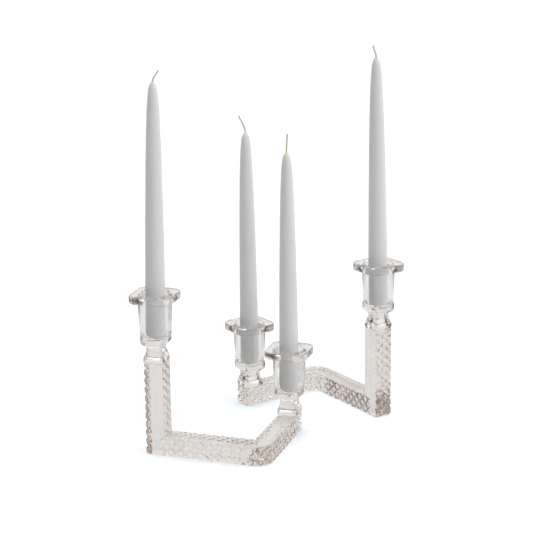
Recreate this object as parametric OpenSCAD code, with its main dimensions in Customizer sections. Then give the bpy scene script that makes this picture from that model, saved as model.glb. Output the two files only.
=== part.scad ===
// Two-piece menorah: a pair of L-shaped moulded glass holders, each with a tall and a
// short candle cup, and four taper candles standing in them.

/* [Glass bars] */
// Width of the square glass bar, seen from above
bar_w = 22.5; // [16:0.5:30]
// Height of the flat bars above the table
bar_h = 22.5; // [16:0.5:30]
// Distance between the axes of the tall post and of the arm that carries the short cup
long_arm = 122; // [90:1:160]
// Distance from the centre line of the long arm to the axis of the short cup
short_arm = 101; // [70:1:140]
// Radius of the rounded outer corner of the bend
bend_r = 20; // [6:0.5:22]
// Height of the seam between the tall post and its cup
post_h = 107.5; // [60:0.5:150]

/* [Candle cups] */
// Height of a cup from its seam to the rim
cup_h = 79; // [68:0.5:95]
// Width of the square drip tray across its flats
tray_w = 49.5; // [46:0.5:60]
// Radius of the corners of the drip tray
tray_r = 12.5; // [8:0.5:18]
// Thickness of the drip tray
tray_t = 8; // [4:0.5:9]
// Width of the square block under the cup
block_w = 27; // [25:0.5:30]
// Height over which the square block grows out into the round cup
block_h = 9; // [6:0.5:10]
// Height of the bevel between the block and the neck
bevel_h = 4.5; // [3:0.5:6]
// Width of the square neck
neck_w = 17.8; // [14:0.2:20]
// Height of the straight part of the neck
neck_h = 5; // [3:0.5:7]
// Height of the flare between the neck and the collar
flare_h = 7; // [4:0.5:8]
// Amount by which the collar stands out past the bar on each side
collar_out = 0.3; // [0.2:0.1:1.5]
// Height of the collar
collar_h = 4; // [2:0.5:5]
// Depth of the V groove along the seam, on each side
groove_d = 0.3; // [0.3:0.1:2]
// Height of one flank of the V groove
groove_h = 2; // [1:0.1:3]

/* [Sockets] */
// Thickness of glass between the bevel and the seat that a candle stands on
floor_t = 4.5; // [3:0.5:8]
// Height of the close-fitting seat at the bottom of the socket
seat_h = 4; // [2:0.5:8]
// Gap between a candle and its seat, on each side
seat_gap = 0.3; // [0.15:0.05:0.6]
// Room between a candle and the wide bowl above the seat, on each side
bowl_gap = 3.8; // [2.5:0.1:4]
// Height of the curve from the seat out to the bowl
bowl_h = 10; // [4:0.5:10]
// Amount by which the socket widens from the bowl up to the mouth, on each side
mouth_draft = 1; // [0.4:0.1:1.5]
// Thickness of the cup's wall beside the bowl
bowl_wall = 2.6; // [2.5:0.1:5]
// Thickness of the cup's wall under the drip tray
mouth_wall = 3.4; // [3:0.1:6]

/* [Candles] */
// Diameter of a candle at its base
candle_d = 22.2; // [18:0.1:27]
// Length of the wax of a candle
candle_len = 285.5; // [200:1:340]
// How quickly a candle thins towards its tip: a smaller number keeps it stouter
taper_power = 0.24; // [0.15:0.01:0.5]
// Diameter of a wick
wick_d = 1.8; // [1.2:0.1:2.5]
// Free length of a wick on the tall cups
tall_wick_len = 14; // [8:0.5:24]
// Free length of a wick on the short cups
short_wick_len = 21; // [8:0.5:24]
// Lean of the front tall wick's end to the right, in degrees
front_tall_lean = 38; // [20:1:50]
// Lean of the front short wick's end to the right, in degrees
front_short_lean = 9; // [8:1:50]
// Lean of the back tall wick's end to the left, in degrees
back_tall_lean = 22; // [20:1:50]
// Lean of the back short wick's end to the left, in degrees
back_short_lean = 26; // [20:1:50]

/* [Places on the table] */
// Turn of the front holder about its post, in degrees
front_turn = -18.9; // [-30:0.1:0]
// Turn of the back holder about its post, in degrees
back_turn = 124.4; // [110:0.1:140]
// Distance to the right from the front post to the back post
back_across = 254; // [240:1:300]
// Distance away from the front post to the back post
back_behind = 111; // [100:1:160]

/* [Hidden] */
$fn = 64;
ARC_STEPS = 8;
WAX_STEPS = 28;

glass = [0.93, 0.91, 0.91, 0.45];
wax = [0.92, 0.92, 0.93];
cotton = [0.93, 0.86, 0.62];

half_bar = bar_w / 2;
collar_w = bar_w + 2 * collar_out;
seam_w = bar_w - 2 * groove_d;
// Heights in a cup, above its seam
flare_z = groove_h + collar_h;
neck_z = flare_z + flare_h;
bevel_z = neck_z + neck_h;
block_z = bevel_z + bevel_h;
seat_z = block_z + floor_t;
tray_z = cup_h - tray_t;
// The socket and the cup's wall follow the candle
seat_d = candle_d + 2 * seat_gap;
bowl_d = candle_d + 2 * bowl_gap;
mouth_d = bowl_d + 2 * mouth_draft;
cup_low_d = bowl_d + 2 * bowl_wall;
cup_top_d = mouth_d + 2 * mouth_wall;
free_wax = candle_len - (cup_h - seat_z);

// Half the size of a rounded square tray along a table axis, after it is turned by a.
function tray_reach(a) = (tray_w / 2 - tray_r) * (abs(cos(a)) + abs(sin(a))) + tray_r;
// A point of a holder, measured along its long arm (u) and short arm (v), on the table.
function on_table(u, v, a) = [u * cos(a) - v * sin(a), u * sin(a) + v * cos(a)];
function sharp_corners(a) = [
    for (p = [
        [-half_bar, -half_bar], [-half_bar, half_bar],
        [long_arm + half_bar, short_arm + half_bar], [long_arm - half_bar, short_arm + half_bar]
    ]) on_table(p[0], p[1], a)
];
function bend_reaches(a) = [
    for (s = [-1, 1])
        on_table(long_arm + half_bar - bend_r, bend_r - half_bar, a) + s * bend_r * [1, 1]
];
function cup_reaches(a) = [
    for (c = [[0, 0], [long_arm, short_arm]], s = [-1, 1])
        on_table(c[0], c[1], a) + s * tray_reach(a) * [1, 1]
];
function outline(a) = concat(sharp_corners(a), bend_reaches(a), cup_reaches(a));
back_points = [for (p = outline(back_turn)) p + [back_across, back_behind]];
all_points = concat(outline(front_turn), back_points);
xs = [for (p = all_points) p[0]];
ys = [for (p = all_points) p[1]];
// The middle of the whole object on the table is the origin.
front_at = -[min(xs) + max(xs), min(ys) + max(ys)] / 2;
back_at = front_at + [back_across, back_behind];

// A square prism or frustum standing on z = 0.
module square_step(w_low, w_high, h) {
    linear_extrude(height = h, scale = w_high / w_low)
        square(w_low, center = true);
}

module rounded_square(w, r) {
    inner = w - 2 * r;
    square([w, inner], center = true);
    square([inner, w], center = true);
    for (x = [-1, 1], y = [-1, 1])
        translate([x, y] * inner / 2) circle(r);
}

// Moves children from a holder's own frame to its place on the table.
module place_holder(at, turn) {
    translate([at[0], at[1], 0])
        rotate([0, 0, turn]) children();
}

// The L-shaped bar with the rounded outer corner, and the tall post with its top bevel.
module glass_base() {
    difference() {
        union() {
            translate([-half_bar, -half_bar, 0])
                cube([long_arm + bar_w, bar_w, bar_h]);
            translate([long_arm - half_bar, -half_bar, 0])
                cube([bar_w, short_arm + bar_w, bar_h]);
        }
        translate([long_arm + half_bar - bend_r, -half_bar + bend_r, 0])
            difference() {
                translate([0, -2 * bend_r, -1])
                    cube([2 * bend_r, 2 * bend_r, bar_h + 2]);
                translate([0, 0, -2])
                    cylinder(r = bend_r, h = bar_h + 4);
            }
    }
    translate([-half_bar, -half_bar, 0])
        cube([bar_w, bar_w, post_h - groove_h]);
    translate([0, 0, post_h - groove_h])
        square_step(bar_w, seam_w, groove_h);
}

// Outline of the cup's outer wall from the block up to the tray.
function cup_wall() = concat(
    [[0, block_z], [block_w / 2 - 1, block_z]],
    [for (i = [0:ARC_STEPS]) let (t = 90 * i / ARC_STEPS)
        [block_w / 2 + (cup_low_d / 2 - block_w / 2) * sin(t), block_z + block_h * (1 - cos(t))]],
    [[cup_top_d / 2, tray_z + 1], [0, tray_z + 1]]
);

// Outline of the socket: a close seat, a curve out to the bowl, and a slight draft to the mouth.
function socket_wall() = concat(
    [[0, seat_z], [seat_d / 2, seat_z]],
    [for (i = [0:ARC_STEPS]) let (t = 90 * i / ARC_STEPS)
        [seat_d / 2 + (bowl_d - seat_d) / 2 * sin(t), seat_z + seat_h + bowl_h * (1 - cos(t))]],
    [[mouth_d / 2, cup_h + 1], [0, cup_h + 1]]
);

// One candle cup, standing on its seam at z = 0.
module cup() {
    difference() {
        union() {
            square_step(seam_w, collar_w, groove_h);
            translate([0, 0, groove_h]) square_step(collar_w, collar_w, collar_h);
            translate([0, 0, flare_z]) square_step(collar_w, neck_w, flare_h);
            translate([0, 0, neck_z]) square_step(neck_w, neck_w, neck_h);
            translate([0, 0, bevel_z]) square_step(neck_w, block_w, bevel_h);
            translate([0, 0, block_z]) square_step(block_w, block_w, block_h);
            rotate_extrude() polygon(cup_wall());
            translate([0, 0, tray_z])
                linear_extrude(height = tray_t) rounded_square(tray_w, tray_r);
        }
        rotate_extrude() polygon(socket_wall());
    }
}

// Radius of the wax at a distance below the tip.
function wax_r(below_tip) = candle_d / 2 * pow(below_tip / free_wax, taper_power);

// Wax of one candle with its base at z = 0 and a hole for the wick along its axis.
module taper_candle() {
    profile = concat(
        [[wick_d / 2, 0], [candle_d / 2, 0]],
        [for (i = [0:WAX_STEPS - 1]) let (s = free_wax * pow(1 - i / WAX_STEPS, 2))
            [wax_r(s), candle_len - s]],
        [[wick_d / 2, candle_len]]
    );
    color(wax) rotate_extrude() polygon(profile);
}

// A wick along the candle's axis. Its free end stands up for a third of its length, then
// leans over towards +x and thins a little.
module wick(free_len, lean) {
    kink_z = candle_len + free_len / 3;
    color(cotton) {
        cylinder(d = wick_d, h = kink_z);
        translate([0, 0, kink_z - wick_d]) rotate([0, lean, 0])
            cylinder(d1 = wick_d * 0.95, d2 = wick_d * 0.8, h = free_len * 2 / 3 + wick_d);
    }
}

module tall_place(at, turn) { place_holder(at, turn) translate([0, 0, post_h]) children(); }
module short_place(at, turn) { place_holder(at, turn) translate([long_arm, short_arm, bar_h]) children(); }
// Stands a candle or wick on its seat, square to the table so that its wick leans left or right.
module stand(turn) { translate([0, 0, seat_z]) rotate([0, 0, -turn]) children(); }

module front_glass_base() { color(glass) place_holder(front_at, front_turn) glass_base(); }
module back_glass_base() { color(glass) place_holder(back_at, back_turn) glass_base(); }
module front_tall_cup() { color(glass) tall_place(front_at, front_turn) cup(); }
module front_short_cup() { color(glass) short_place(front_at, front_turn) cup(); }
module back_tall_cup() { color(glass) tall_place(back_at, back_turn) cup(); }
module back_short_cup() { color(glass) short_place(back_at, back_turn) cup(); }

front_glass_base();
front_tall_cup();
front_short_cup();
back_glass_base();
back_tall_cup();
back_short_cup();
tall_place(front_at, front_turn) stand(front_turn) taper_candle();  // front_tall_candle
short_place(front_at, front_turn) stand(front_turn) taper_candle();  // front_short_candle
tall_place(back_at, back_turn) stand(back_turn) taper_candle();  // back_tall_candle
short_place(back_at, back_turn) stand(back_turn) taper_candle();  // back_short_candle
tall_place(front_at, front_turn) stand(front_turn) wick(tall_wick_len, front_tall_lean);  // front_tall_wick
short_place(front_at, front_turn) stand(front_turn) wick(short_wick_len, front_short_lean);  // front_short_wick
tall_place(back_at, back_turn) stand(back_turn) wick(tall_wick_len, -back_tall_lean);  // back_tall_wick
short_place(back_at, back_turn) stand(back_turn) wick(short_wick_len, -back_short_lean);  // back_short_wick
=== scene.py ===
"""Looks of the menorah: two cut-glass candle holders, their cups, four tapers and four wicks."""

import math

import bmesh
import bpy
from mathutils import Matrix, Vector


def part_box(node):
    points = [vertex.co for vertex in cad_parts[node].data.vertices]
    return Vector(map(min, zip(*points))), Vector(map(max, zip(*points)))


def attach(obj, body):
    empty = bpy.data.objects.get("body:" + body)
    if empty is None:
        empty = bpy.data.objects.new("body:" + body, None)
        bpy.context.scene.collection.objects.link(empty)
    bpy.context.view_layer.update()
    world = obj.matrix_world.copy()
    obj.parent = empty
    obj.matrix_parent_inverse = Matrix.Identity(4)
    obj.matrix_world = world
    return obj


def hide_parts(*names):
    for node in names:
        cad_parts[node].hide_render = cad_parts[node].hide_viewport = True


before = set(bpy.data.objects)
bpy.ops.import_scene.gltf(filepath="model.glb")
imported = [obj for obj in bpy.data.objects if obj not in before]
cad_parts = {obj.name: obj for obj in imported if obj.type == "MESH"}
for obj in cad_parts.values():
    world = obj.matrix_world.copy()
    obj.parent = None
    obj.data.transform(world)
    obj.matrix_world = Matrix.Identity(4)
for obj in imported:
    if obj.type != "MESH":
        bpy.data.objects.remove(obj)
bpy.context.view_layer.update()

MM = 0.001

# Sizes of a holder, in metres
BAR = 22.5 * MM
HALF = BAR / 2
LONG_ARM = 122 * MM
SHORT_ARM = 101 * MM
BEND_R = 20 * MM
POST_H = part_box("front_glass_base")[1].z
GROOVE_H = 2 * MM
GROOVE_D = 0.25 * MM
EDGE = 0.5 * MM
EDGE_STEPS = 2
ROUND_STEPS = 12
BEND_CUTS = 8

# The cut diamonds
ARM_CUT = 1.4 * MM
POST_CUT = 1.4 * MM
TIP_OFF = 1.5 * MM
CELL = BAR / 2
POST_CELL = 10.2 * MM
POST_RECESS = 0.6 * MM
SLAB = 4 * MM
BORDER = 1.1 * MM
SPARE = 2 * MM
CORNER_GAP = 0.35 * MM

# Heights in a cup, above its seam
COLLAR_OUT = 0.2 * MM
COLLAR_H = 4 * MM
NECK_Z = 13 * MM
BEVEL_Z = 18 * MM
BLOCK_Z = 22.5 * MM
SEAT_Z = 27 * MM
CUP_H = 79 * MM
TRAY_T = 8 * MM
TRAY_Z = CUP_H - TRAY_T
TRAY_W = 49.5 * MM
TRAY_R = 12.5 * MM
TRAY_ROUND = 0.9 * MM
TRAY_STEPS = 4
NECK_W = 17.8 * MM
STEM_EDGE = 0.6 * MM
BLOCK_W = 27 * MM
BLOCK_H = 9 * MM
LOW_R = 17.5 * MM
TOP_R = 19.3 * MM
SEAT_R = 7.6 * MM
BOWL_R = 14.9 * MM
BOWL_H = 11 * MM
MOUTH_R = 15.8 * MM
RIM = 0.8 * MM
RIM_EASE = 0.3
BOWL_STEPS = 10
SEAM_GAP = 0.04 * MM

# Candles
WAX_R = 11.1 * MM
FREE_WAX = 234.5 * MM
TAPER_POWER = 0.24
TIP_PULL = 0.45
TIP_REACH = 2.5 * MM
FOOT_R = 7.4 * MM
FOOT_H = 3.6 * MM
FOOT_GAP = 0.16 * MM
FOOT_STEPS = 8
TAPER_STEPS = 44
TAPER_CROWD = 2.2
WICK_R = 1.0 * MM
WICK_STEPS = 10
WICK_BOW = 0.45
WICK_NARROWS = 0.985
# Each candle: how much its wax differs in length in mm, its lean to the right in degrees,
# its free wick's length in mm and the wick's lean to the right at its end in degrees
CANDLES = {
    ("front", "tall"): (0.5, 0.99, 14, 34),
    ("front", "short"): (-4.5, -0.16, 21, 4),
    ("back", "tall"): (7, -0.75, 14, -20),
    ("back", "short"): (-0.5, -0.21, 21, -26),
}

SPIN_STEPS = 72
WAX_SPIN_STEPS = 64

# Tones of the glass, the wax, the floor and the room
BAR_TINT = (0.55, 0.41, 0.30)
BAR_DENSITY = 10.5
CUP_TINT = (0.55, 0.49, 0.45)
CUP_DENSITY = 11
WAX_DARK = (0.735, 0.735, 0.735)
WAX_LIGHT = (0.76, 0.76, 0.76)
WICK_DARK = (0.52, 0.44, 0.25)
WICK_LIGHT = (0.80, 0.73, 0.50)
FLOOR_GAP = 0.15 * MM
FLOOR_SIZE = 30
LAMP_COLOUR = (0.94, 0.97, 1.0)
BACKDROP = 1.05
DARKEST = 0.04
WAX_IN_GLASS = 2.4

# The camera, set off from the front holder's post
CAMERA_OFF = (0.12663, -1.73387)
CAMERA_Z = 0.70621
CAMERA_PITCH = 15.3
CAMERA_ROLL = -0.72


# ---------------------------------------------------------------- making


def deselect():
    bpy.ops.object.select_all(action="DESELECT")


def active(piece):
    deselect()
    piece.select_set(True)
    bpy.context.view_layer.objects.active = piece


def edit(piece):
    active(piece)
    bpy.ops.object.mode_set(mode="EDIT")
    bpy.ops.mesh.select_mode(type="FACE")
    bpy.ops.mesh.select_all(action="DESELECT")


def done():
    bpy.ops.object.mode_set(mode="OBJECT")


def pick_faces(piece, test):
    """Selects the faces whose middle and normal pass the test, and no others."""
    mesh = bmesh.from_edit_mesh(piece.data)
    for face in mesh.faces:
        face.select = test(face.calc_center_median(), face.normal)
    bmesh.update_edit_mesh(piece.data)


def pick_edges(piece, test):
    """Selects the edges whose two ends pass the test, and no others."""
    bpy.ops.mesh.select_mode(type="EDGE")
    mesh = bmesh.from_edit_mesh(piece.data)
    for edge in mesh.edges:
        edge.select = test(edge.verts[0].co, edge.verts[1].co)
    bmesh.update_edit_mesh(piece.data)


def push(x, y, z):
    bpy.ops.mesh.extrude_region_move(TRANSFORM_OT_translate={"value": (x, y, z)})


def shrink(factor, centre=(0, 0, 0)):
    bpy.ops.transform.resize(value=(factor, factor, 1), center_override=centre)


def apply(piece, name):
    active(piece)
    bpy.ops.object.modifier_apply(modifier=name)


def set_place(piece):
    active(piece)
    bpy.ops.object.transform_apply(location=True, rotation=True, scale=True)


def block(name, low, high):
    """A box between two corners, as the start of a shape."""
    low = Vector(low)
    high = Vector(high)
    deselect()
    bpy.ops.mesh.primitive_cube_add(size=1, location=(low + high) / 2, scale=high - low)
    piece = bpy.context.object
    piece.name = name
    set_place(piece)
    return piece


def cut(piece, tool, operation="DIFFERENCE"):
    """Cuts the tool out of the piece, or joins it, and takes the tool away."""
    step = piece.modifiers.new("cut", "BOOLEAN")
    step.operation = operation
    step.solver = "EXACT"
    step.object = tool
    apply(piece, "cut")
    bpy.data.objects.remove(tool)


def cut_all(piece, tools):
    """Cuts several tools, which may run into each other, out of the piece in one go."""
    rack = bpy.data.collections.new("tools")
    for tool in tools:
        rack.objects.link(tool)
    step = piece.modifiers.new("cut", "BOOLEAN")
    step.operation = "DIFFERENCE"
    step.solver = "EXACT"
    step.operand_type = "COLLECTION"
    step.collection = rack
    apply(piece, "cut")
    for tool in tools:
        bpy.data.objects.remove(tool)
    bpy.data.collections.remove(rack)


def soften(piece, width, steps, angle=30):
    """Rounds every edge sharper than the angle."""
    step = piece.modifiers.new("soften", "BEVEL")
    step.width = width
    step.segments = steps
    step.limit_method = "ANGLE"
    step.angle_limit = math.radians(angle)
    step.use_clamp_overlap = True
    apply(piece, "soften")


def copy_of(piece, name):
    twin = piece.copy()
    twin.data = piece.data.copy()
    twin.name = name
    twin.data.name = name
    bpy.context.scene.collection.objects.link(twin)
    return twin


def move(piece, matrix):
    piece.data.transform(matrix)


def spun(name, profile, steps=SPIN_STEPS):
    """A solid spun about the z axis from a profile of (radius, height), closed at its poles."""
    deselect()
    bpy.ops.mesh.primitive_plane_add(size=1)
    piece = bpy.context.object
    piece.name = name
    bpy.ops.object.mode_set(mode="EDIT")
    bpy.ops.mesh.select_all(action="SELECT")
    bpy.ops.mesh.delete(type="VERT")
    mesh = bmesh.from_edit_mesh(piece.data)
    verts = [mesh.verts.new((r, 0, z)) for r, z in profile]
    for a, b in zip(verts, verts[1:]):
        mesh.edges.new((a, b))
    bmesh.update_edit_mesh(piece.data)
    bpy.ops.mesh.select_all(action="SELECT")
    bpy.ops.mesh.spin(steps=steps, angle=math.tau, center=(0, 0, 0), axis=(0, 0, 1))
    bpy.ops.mesh.select_all(action="SELECT")
    bpy.ops.mesh.remove_doubles(threshold=0.00001)
    bpy.ops.mesh.normals_make_consistent(inside=False)
    done()
    return piece


# ---------------------------------------------------------------- glass


def diamond_slab(name, length, height, depth=ARM_CUT, cell=(CELL, CELL), shift=0.0, keep=None):
    """A slab whose back carries hollow diamonds: pressed into glass it leaves raised ones.

    It runs along +x from 0, up +z from just under 0, and outwards along -y from the face at
    y = 0. A diamond's corner lies at x = shift, z = 0. Whole diamonds stay where keep says so."""
    count = 2 * math.ceil(length / cell[0] + height / cell[1] + 2)
    bottom = -SPARE
    deselect()
    bpy.ops.mesh.primitive_grid_add(
        x_subdivisions=count, y_subdivisions=count, size=count * math.sqrt(0.5)
    )
    slab = bpy.context.object
    slab.name = name
    upright = Matrix.Rotation(math.radians(90), 4, "X") @ Matrix.Rotation(math.radians(45), 4, "Z")
    scale = Matrix.Diagonal((cell[0], 1, cell[1], 1))
    move(slab, Matrix.Translation((shift, depth, 0)) @ scale @ upright)
    edit(slab)
    if keep:
        pick_faces(slab, lambda c, n: not keep(c))
        bpy.ops.mesh.delete(type="FACE")
    bpy.ops.mesh.select_all(action="SELECT")
    bpy.ops.mesh.poke(offset=depth + TIP_OFF)
    for point, normal in (
        ((0, 0, 0), (1, 0, 0)),
        ((length, 0, 0), (-1, 0, 0)),
        ((0, 0, bottom), (0, 0, 1)),
        ((0, 0, height), (0, 0, -1)),
    ):
        bpy.ops.mesh.select_all(action="SELECT")
        bpy.ops.mesh.bisect(plane_co=point, plane_no=normal, clear_inner=True)
    bpy.ops.mesh.select_all(action="SELECT")
    push(0, -SLAB, 0)
    bpy.ops.mesh.select_all(action="SELECT")
    bpy.ops.mesh.normals_make_consistent(inside=False)
    done()
    return slab


def at_face(slab, x, y, z, turn):
    """Stands a slab on a face: its start at x, y, z, and its run turned about z."""
    move(slab, Matrix.Translation((x, y, z)) @ Matrix.Rotation(math.radians(turn), 4, "Z"))
    return slab


def wrap_round(slab, start_u, turn_u):
    """Wraps a slab's run round the outer bend: straight, a quarter turn, then straight."""
    radius = BEND_R
    quarter = radius * math.pi / 2
    edit(slab)
    bpy.ops.mesh.select_all(action="SELECT")
    for step in range(1, BEND_CUTS + 1):
        x = turn_u - start_u + quarter * (step - 0.5) / BEND_CUTS
        bpy.ops.mesh.select_all(action="SELECT")
        bpy.ops.mesh.bisect(plane_co=(x, 0, 0), plane_no=(1, 0, 0))
    done()
    for vert in slab.data.vertices:
        along = vert.co.x + start_u - turn_u
        out = -vert.co.y
        angle = min(max(along / radius, 0), math.pi / 2)
        extra = along - angle * radius
        centre = Vector((turn_u, -HALF + radius))
        point = centre + (radius + out) * Vector((math.sin(angle), -math.cos(angle)))
        point += extra * Vector((math.cos(angle), math.sin(angle)))
        vert.co = (point.x, point.y, vert.co.z)


def glass_base(name):
    """The L-shaped bar and its post, in the holder's own frame, with the diamonds cut."""
    base = block(name, (LONG_ARM - HALF, -HALF, 0), (LONG_ARM + HALF, HALF, BAR))
    edit(base)
    pick_faces(base, lambda c, n: n.x < -0.9)
    push(-(LONG_ARM - BAR), 0, 0)
    push(-BAR, 0, 0)
    pick_faces(base, lambda c, n: n.y > 0.9 and c.x > LONG_ARM - HALF)
    push(0, SHORT_ARM, 0)
    pick_faces(base, lambda c, n: n.z > 0.9 and c.x < HALF)
    push(0, 0, POST_H - GROOVE_H - BAR)
    push(0, 0, GROOVE_H)
    shrink(1 - 2 * GROOVE_D / BAR)
    corner = Vector((LONG_ARM + HALF, -HALF))
    pick_edges(base, lambda a, b: all((v.xy - corner).length < EDGE for v in (a, b)))
    bpy.ops.mesh.bevel(offset=BEND_R, segments=ROUND_STEPS, affect="EDGES")
    done()
    soften(base, EDGE, EDGE_STEPS)
    side_h = BAR - BORDER
    # The inner face of the long arm ends in whole diamonds, halfway under the post
    run = LONG_ARM - HALF - CORNER_GAP
    inner = diamond_slab(
        "inner_cut", run, side_h, shift=-CORNER_GAP, keep=lambda c: c.x < run - CELL / 4
    )
    at_face(inner, run, HALF, 0, 180)
    run = SHORT_ARM + SPARE - CORNER_GAP
    short = diamond_slab("short_cut", run, side_h, shift=SHORT_ARM + SPARE)
    at_face(short, LONG_ARM - HALF, SHORT_ARM + HALF + SPARE, 0, -90)
    turn_u = LONG_ARM + HALF - BEND_R
    start_u = turn_u - SPARE
    run = SPARE + BEND_R * math.pi / 2 + SHORT_ARM + BAR - BEND_R + SPARE
    outer = diamond_slab("outer_cut", run, side_h)
    wrap_round(outer, start_u, turn_u)
    end = diamond_slab("end_cut", BAR + 2 * SPARE, side_h, shift=SPARE)
    at_face(end, LONG_ARM + HALF + SPARE, SHORT_ARM + HALF, 0, 180)
    post_top = POST_H - GROOVE_H - SPARE
    back = diamond_slab(
        "post_cut", BAR + 2 * SPARE, post_top, POST_CUT, (CELL, POST_CELL), SPARE
    )
    at_face(back, POST_RECESS - HALF, HALF + SPARE, 0, -90)
    cut_all(base, (inner, short, outer, end, back))
    return base


def cup(name):
    """One cup in its own frame: collar, neck and block are square, the wall is round."""
    collar = BAR / 2 + COLLAR_OUT
    seam = BAR / 2 - GROOVE_D
    stem = block(name, (-seam, -seam, SEAM_GAP), (seam, seam, GROOVE_H))
    edit(stem)
    pick_faces(stem, lambda c, n: n.z > 0.9)
    shrink(collar / seam)
    half = collar
    for top, target in (
        (GROOVE_H + COLLAR_H, collar),
        (NECK_Z, NECK_W / 2),
        (BEVEL_Z, NECK_W / 2),
        (BLOCK_Z, BLOCK_W / 2),
        (BLOCK_Z + BLOCK_H, BLOCK_W / 2),
    ):
        mesh = bmesh.from_edit_mesh(stem.data)
        level = max(v.co.z for v in mesh.verts)
        push(0, 0, top - level)
        shrink(target / half)
        half = target
    done()
    soften(stem, STEM_EDGE, EDGE_STEPS, 20)

    arc = [math.radians(90 * i / BOWL_STEPS) for i in range(BOWL_STEPS + 1)]
    out = [(0, BLOCK_Z), (BLOCK_W / 2 - MM, BLOCK_Z)]
    rise = LOW_R - BLOCK_W / 2
    out += [(BLOCK_W / 2 + rise * math.sin(t), BLOCK_Z + BLOCK_H * (1 - math.cos(t))) for t in arc]
    out += [(TOP_R, TRAY_Z + MM), (0, TRAY_Z + MM)]
    wall = spun("wall", out)
    cut(stem, wall, "UNION")

    inner = TRAY_W / 2
    tray = block("tray", (-inner, -inner, TRAY_Z), (inner, inner, CUP_H))
    edit(tray)
    pick_edges(tray, lambda a, b: abs(a.z - b.z) > TRAY_T / 2)
    bpy.ops.mesh.bevel(offset=TRAY_R, segments=ROUND_STEPS, affect="EDGES")
    done()
    soften(tray, TRAY_ROUND, TRAY_STEPS)
    cut(stem, tray, "UNION")

    rise = BOWL_R - SEAT_R
    hollow = [(0, SEAT_Z)]
    hollow += [(SEAT_R + rise * math.sin(t), SEAT_Z + BOWL_H * (1 - math.cos(t))) for t in arc]
    hollow += [(MOUTH_R, CUP_H - RIM), (MOUTH_R + RIM * RIM_EASE, CUP_H - RIM * RIM_EASE)]
    hollow += [(MOUTH_R + RIM, CUP_H), (MOUTH_R + RIM, CUP_H + MM), (0, CUP_H + MM)]
    cut(stem, spun("socket", hollow))
    return stem


def smooth(piece, angle=25):
    active(piece)
    bpy.ops.object.shade_smooth_by_angle(angle=math.radians(angle))


# ---------------------------------------------------------------- candles


def wax_r(below_tip):
    """Radius of the wax at a distance below its tip, drawn in a little right at the top."""
    pulled = 1 - TIP_PULL * math.exp(-below_tip / TIP_REACH)
    return WAX_R * (below_tip / FREE_WAX) ** TAPER_POWER * pulled


def taper(name, length):
    """A dipped candle on z = 0: a softly rounded foot, a long taper and a pulled shoulder."""
    swell = WAX_R - FOOT_R
    arc = [math.radians(90 * i / FOOT_STEPS) for i in range(FOOT_STEPS + 1)]
    profile = [(WICK_R, 0)]
    profile += [(FOOT_R + swell * math.sin(t), FOOT_H * (1 - math.cos(t))) for t in arc]
    for i in range(TAPER_STEPS):
        below = FREE_WAX * (1 - i / TAPER_STEPS) ** TAPER_CROWD
        profile.append((max(wax_r(below), WICK_R + 0.25 * MM), length - below))
    profile += [(WICK_R + 0.2 * MM, length), (WICK_R, length - 0.2 * MM), (WICK_R, 0)]
    return spun(name, profile, WAX_SPIN_STEPS)


# ---------------------------------------------------------------- materials


def material(name):
    made = bpy.data.materials.new(name)
    made.use_nodes = True
    nodes = made.node_tree.nodes
    return made, nodes, made.node_tree.links, nodes["Principled BSDF"]


def noise_at(nodes, links, scale, detail=3.0, stretch=(1, 1, 1)):
    place = nodes.new("ShaderNodeTexCoord")
    mapping = nodes.new("ShaderNodeMapping")
    mapping.inputs["Scale"].default_value = stretch
    noise = nodes.new("ShaderNodeTexNoise")
    noise.inputs["Scale"].default_value = scale
    noise.inputs["Detail"].default_value = detail
    links.new(place.outputs["Object"], mapping.inputs["Vector"])
    links.new(mapping.outputs["Vector"], noise.inputs["Vector"])
    return noise


def ramp(nodes, links, source, *stops):
    """A colour ramp from a value: stops are (position, colour)."""
    node = nodes.new("ShaderNodeValToRGB")
    row = node.color_ramp.elements
    row[0].position, row[0].color = stops[0][0], (*stops[0][1], 1)
    row[1].position, row[1].color = stops[-1][0], (*stops[-1][1], 1)
    for position, colour in stops[1:-1]:
        row.new(position).color = (*colour, 1)
    links.new(source, node.inputs["Fac"])
    return node.outputs["Color"]


def span(nodes, links, source, low, high, to_low, to_high):
    node = nodes.new("ShaderNodeMapRange")
    ends = {"From Min": low, "From Max": high, "To Min": to_low, "To Max": to_high}
    for socket, value in ends.items():
        node.inputs[socket].default_value = value
    links.new(source, node.inputs["Value"])
    return node.outputs["Result"]


def bump(nodes, links, source, shader, strength, distance):
    node = nodes.new("ShaderNodeBump")
    node.inputs["Strength"].default_value = strength
    node.inputs["Distance"].default_value = distance
    links.new(source, node.inputs["Height"])
    links.new(node.outputs["Normal"], shader.inputs["Normal"])


def pressed_glass(name, colour, density):
    """Clear moulded glass that takes on its colour with thickness."""
    made, nodes, links, shader = material(name)
    shader.inputs["Transmission Weight"].default_value = 1
    shader.inputs["IOR"].default_value = 1.5
    streaks = noise_at(nodes, links, 60, 2)
    tint = ramp(
        nodes, links, streaks.outputs["Fac"], (0.3, (0.985, 0.985, 0.985)), (0.7, (1.0, 1.0, 1.0))
    )
    links.new(tint, shader.inputs["Base Color"])
    fine = noise_at(nodes, links, 900, 2)
    gloss = span(nodes, links, fine.outputs["Fac"], 0.3, 0.7, 0.01, 0.04)
    links.new(gloss, shader.inputs["Roughness"])
    ripple = noise_at(nodes, links, 140, 1)
    bump(nodes, links, ripple.outputs["Fac"], shader, 0.12, 0.0008)
    volume = nodes.new("ShaderNodeVolumeAbsorption")
    volume.inputs["Color"].default_value = (*colour, 1)
    volume.inputs["Density"].default_value = density
    links.new(volume.outputs["Volume"], nodes["Material Output"].inputs["Volume"])
    return made


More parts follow.
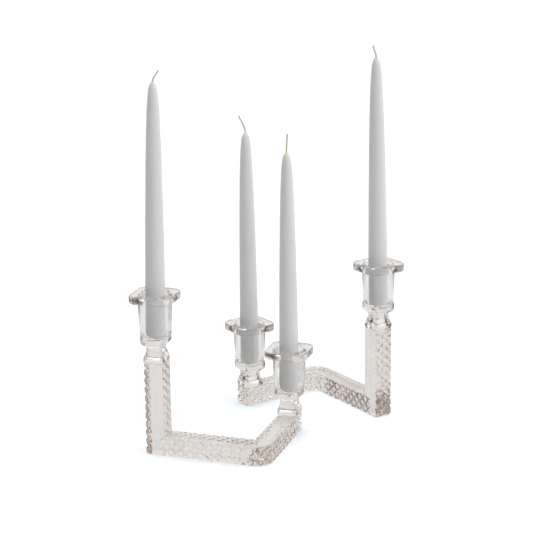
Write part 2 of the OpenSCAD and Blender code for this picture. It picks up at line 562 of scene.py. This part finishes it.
def satin_wax():
    made, nodes, links, shader = material("satin_wax")
    cloud = noise_at(nodes, links, 35, 4, (1, 1, 0.25))
    tone = ramp(nodes, links, cloud.outputs["Fac"], (0.3, WAX_DARK), (0.7, WAX_LIGHT))
    links.new(tone, shader.inputs["Base Color"])
    gloss = span(nodes, links, cloud.outputs["Fac"], 0.3, 0.7, 0.45, 0.55)
    links.new(gloss, shader.inputs["Roughness"])
    shader.inputs["Specular IOR Level"].default_value = 0.25
    shader.inputs["Subsurface Weight"].default_value = 0.25
    shader.inputs["Subsurface Radius"].default_value = (0.004, 0.004, 0.004)
    shader.inputs["Subsurface Scale"].default_value = 1
    shader.inputs["IOR"].default_value = 1.44
    dip = noise_at(nodes, links, 90, 3, (1, 1, 0.15))
    bump(nodes, links, dip.outputs["Fac"], shader, 0.15, 0.0004)
    return made


def cotton():
    made, nodes, links, shader = material("waxed_cotton")
    place = nodes.new("ShaderNodeTexCoord")
    wave = nodes.new("ShaderNodeTexWave")
    wave.inputs["Scale"].default_value = 380
    wave.inputs["Distortion"].default_value = 2
    wave.bands_direction = "DIAGONAL"
    links.new(place.outputs["Object"], wave.inputs["Vector"])
    tone = ramp(nodes, links, wave.outputs["Fac"], (0.0, WICK_DARK), (1.0, WICK_LIGHT))
    links.new(tone, shader.inputs["Base Color"])
    shader.inputs["Roughness"].default_value = 0.8
    bump(nodes, links, wave.outputs["Fac"], shader, 0.6, 0.0003)
    return made


def dress(piece, finish, slot, body, *nodes):
    piece.data.materials.clear()
    piece.data.materials.append(finish)
    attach(piece, body)
    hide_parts(*nodes)


# ---------------------------------------------------------------- assembly


def middle(node):
    low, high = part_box(node)
    return (low + high) / 2


bar_glass = pressed_glass("pressed_bar_glass", BAR_TINT, BAR_DENSITY)
cup_glass = pressed_glass("pressed_cup_glass", CUP_TINT, CUP_DENSITY)
wax = satin_wax()
wick_cotton = cotton()

master_base = glass_base("front_glass_base_cut")
smooth(master_base, 12)
master_cup = cup("front_tall_cup_glass")
smooth(master_cup)

for end in ("front", "back"):
    post = middle(f"{end}_tall_cup")
    short = middle(f"{end}_short_cup")
    run = short - post
    turn = math.atan2(run.y, run.x) - math.atan2(SHORT_ARM, LONG_ARM)
    place = Matrix.Translation((post.x, post.y, 0)) @ Matrix.Rotation(turn, 4, "Z")
    base = copy_of(master_base, f"{end}_cut_glass_base")
    move(base, place)
    dress(base, bar_glass, "glass", f"{end}_holder", f"{end}_glass_base")
    for height, where in (("tall", (0, 0, POST_H)), ("short", (LONG_ARM, SHORT_ARM, BAR))):
        piece = copy_of(master_cup, f"{end}_{height}_glass_cup")
        move(piece, place @ Matrix.Translation(where))
        dress(piece, cup_glass, "glass", f"{end}_holder", f"{end}_{height}_cup")
bpy.data.objects.remove(master_base)
bpy.data.objects.remove(master_cup)


def wick_cord(name, foot, tip, free, lean):
    """A cotton wick from the seat up through the wax, with a bowed free end."""
    deselect()
    bpy.ops.mesh.primitive_circle_add(vertices=12, radius=WICK_R, fill_type="NGON", location=foot)
    cord = bpy.context.object
    cord.name = name
    set_place(cord)
    edit(cord)
    bpy.ops.mesh.select_all(action="SELECT")
    axis = (tip - foot).normalized()
    push(*(axis * (tip - foot).length))
    at = tip.copy()
    for i in range(WICK_STEPS):
        angle = math.radians(lean) * min(1, (i + 1) / (WICK_BOW * WICK_STEPS))
        side = Vector((math.sin(angle), 0, math.cos(angle))) * free / WICK_STEPS
        push(*side)
        at += side
        bpy.ops.transform.resize(value=(WICK_NARROWS,) * 3, center_override=at)
        bpy.ops.transform.rotate(
            value=-math.radians(lean) / WICK_STEPS, orient_axis="Y", center_override=at
        )
    bpy.ops.mesh.select_all(action="SELECT")
    bpy.ops.mesh.normals_make_consistent(inside=False)
    done()
    return cord


for (end, height), (longer, lean, free, wick_lean) in CANDLES.items():
    low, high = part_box(f"{end}_{height}_candle")
    foot = Vector(((low.x + high.x) / 2, (low.y + high.y) / 2, low.z + FOOT_GAP))
    length = high.z - low.z + longer * MM
    body = f"{end}_{height}_candle"
    candle = taper(f"{end}_{height}_taper", length)
    move(candle, Matrix.Translation(foot) @ Matrix.Rotation(math.radians(lean), 4, "Y"))
    smooth(candle, 40)
    dress(candle, wax, "wax", body, f"{end}_{height}_candle")
    tip = foot + Vector((math.sin(math.radians(lean)), 0, math.cos(math.radians(lean)))) * length
    start = foot + Vector((0, 0, MM))
    cord = wick_cord(f"{end}_{height}_cotton_wick", start, tip, free * MM, wick_lean)
    smooth(cord, 60)
    dress(cord, wick_cotton, "wick", body, f"{end}_{height}_wick")


# ---------------------------------------------------------------- studio

deselect()
bpy.ops.mesh.primitive_plane_add(size=FLOOR_SIZE, location=(0, 0, -FLOOR_GAP))
floor = bpy.context.object
floor.name = "floor"
# The floor is paler to the camera itself than to the light that the glass and wax gather
floor_paint, nodes, links, shader = material("pale_floor")
grain = noise_at(nodes, links, 3, 2)
speck = grain.outputs["Fac"]
bare = ramp(nodes, links, speck, (0.3, (0.90, 0.915, 0.93)), (0.7, (0.91, 0.92, 0.935)))
shaded = ramp(nodes, links, speck, (0.3, (0.33, 0.33, 0.33)), (0.7, (0.34, 0.34, 0.34)))
ray = nodes.new("ShaderNodeLightPath")
pick = nodes.new("ShaderNodeMix")
pick.data_type = "RGBA"
links.new(ray.outputs["Is Camera Ray"], pick.inputs["Factor"])
links.new(shaded, pick.inputs["A"])
links.new(bare, pick.inputs["B"])
links.new(pick.outputs["Result"], shader.inputs["Base Color"])
glow = nodes.new("ShaderNodeMix")
glow.data_type = "RGBA"
glow.inputs["A"].default_value = (0.42, 0.42, 0.42, 1)
glow.inputs["B"].default_value = (0.02, 0.04, 0.06, 1)
links.new(ray.outputs["Is Camera Ray"], glow.inputs["Factor"])
links.new(glow.outputs["Result"], shader.inputs["Emission Color"])
shader.inputs["Emission Strength"].default_value = 1
shader.inputs["Roughness"].default_value = 0.9
shader.inputs["Specular IOR Level"].default_value = 0.1
floor.data.materials.append(floor_paint)

world = bpy.data.worlds.new("studio")
bpy.context.scene.world = world
world.use_nodes = True
nodes = world.node_tree.nodes
links = world.node_tree.links
background = nodes["Background"]
where = nodes.new("ShaderNodeTexCoord")
parts = nodes.new("ShaderNodeSeparateXYZ")
links.new(where.outputs["Generated"], parts.inputs["Vector"])


def world_part(source, low, high, to_low, to_high):
    node = nodes.new("ShaderNodeMapRange")
    node.interpolation_type = "SMOOTHSTEP"
    ends = {"From Min": low, "From Max": high, "To Min": to_low, "To Max": to_high}
    for socket, value in ends.items():
        node.inputs[socket].default_value = value
    links.new(source, node.inputs["Value"])
    return node.outputs["Result"]


def plus(a, b):
    node = nodes.new("ShaderNodeMath")
    node.operation = "ADD"
    links.new(a, node.inputs[0])
    links.new(b, node.inputs[1])
    return node.outputs["Value"]


def mixed(factor, a, b):
    """Strength a where the factor is 0 and b where it is 1; either may be a plain number."""
    node = nodes.new("ShaderNodeMix")
    node.data_type = "FLOAT"
    links.new(factor, node.inputs["Factor"])
    for socket, value in (("A", a), ("B", b)):
        if isinstance(value, float):
            node.inputs[socket].default_value = value
        else:
            links.new(value, node.inputs[socket])
    return node.outputs["Result"]


# What matt surfaces are lit by: an overhead light and a pale wall on the right
overhead = world_part(parts.outputs["Z"], 0.74, 0.92, 0.0, 2.55)
right_wall = world_part(parts.outputs["X"], 0.0, 0.9, 0.12, 0.9)
# What the glass shows: a pale room, white behind, with dark flags at the sides and in front
sweep = world_part(parts.outputs["Y"], 0.1, 0.8, 0.93, 0.86)
ceiling = world_part(parts.outputs["Z"], 0.6, 0.95, 0.0, 0.4)
left_flag = world_part(parts.outputs["X"], -0.80, -0.70, -0.85, 0.0)
right_flag = world_part(parts.outputs["X"], 0.86, 0.92, 0.0, -0.75)
camera_side = world_part(parts.outputs["Y"], -0.92, -0.80, -0.85, 0.0)
ray = nodes.new("ShaderNodeLightPath")
room_light = plus(plus(sweep, ceiling), plus(plus(left_flag, right_flag), camera_side))
never_black = nodes.new("ShaderNodeMath")
never_black.operation = "MAXIMUM"
never_black.inputs[1].default_value = DARKEST
links.new(room_light, never_black.inputs[0])
room = never_black.outputs["Value"]
after_matt = nodes.new("ShaderNodeMath")
after_matt.operation = "MINIMUM"
after_matt.inputs[1].default_value = 1
links.new(ray.outputs["Diffuse Depth"], after_matt.inputs[0])
open_air = plus(overhead, right_wall)
# The wax inside a cup gets more of the light, which loses much on its way in through the glass
through_glass = nodes.new("ShaderNodeMath")
through_glass.operation = "MULTIPLY"
through_glass.inputs[1].default_value = WAX_IN_GLASS
links.new(open_air, through_glass.inputs[0])
on_matt = mixed(ray.outputs["Is Transmission Ray"], open_air, through_glass.outputs["Value"])
lit = mixed(after_matt.outputs["Value"], room, on_matt)
seen = mixed(ray.outputs["Is Camera Ray"], lit, BACKDROP)
links.new(seen, background.inputs["Strength"])
background.inputs["Color"].default_value = (1, 1, 1, 1)


def softbox(name, place, aim, width, height, power):
    lamp = bpy.data.lights.new(name, "AREA")
    lamp.shape = "RECTANGLE"
    lamp.size = width
    lamp.size_y = height
    lamp.energy = power
    lamp.color = LAMP_COLOUR
    holder = bpy.data.objects.new(name, lamp)
    bpy.context.scene.collection.objects.link(holder)
    holder.location = place
    holder.rotation_euler = (Vector(aim) - Vector(place)).to_track_quat("-Z", "Y").to_euler()
    holder.visible_camera = False


softbox("top_softbox", (-0.7, 0.6, 2.2), (0, 0, 0), 1.4, 1.4, 7)
softbox("side_softbox", (1.3, -0.7, 0.8), (0.1, 0, 0.3), 0.8, 0.8, 4)

camera_data = bpy.data.cameras.new("camera")
camera = bpy.data.objects.new("camera", camera_data)
bpy.context.scene.collection.objects.link(camera)
front_post = middle("front_tall_cup")
across, along = CAMERA_OFF
camera.location = (front_post.x + across, front_post.y + along, CAMERA_Z)
facing = Matrix.Rotation(math.radians(90 - CAMERA_PITCH), 4, "X")
camera.rotation_euler = (facing @ Matrix.Rotation(math.radians(CAMERA_ROLL), 4, "Z")).to_euler()
camera_data.sensor_width = 36
camera_data.lens = 111.05
camera_data.shift_x = -0.0048
camera_data.shift_y = -0.0277
camera_data.clip_start = 0.05
camera_data.clip_end = 60
bpy.context.scene.camera = camera

scene = bpy.context.scene
scene.view_settings.view_transform = "Standard"
scene.view_settings.look = "None"
scene.cycles.max_bounces = 64
scene.cycles.transmission_bounces = 64
scene.cycles.glossy_bounces = 32
scene.cycles.diffuse_bounces = 4
scene.cycles.use_denoising = True
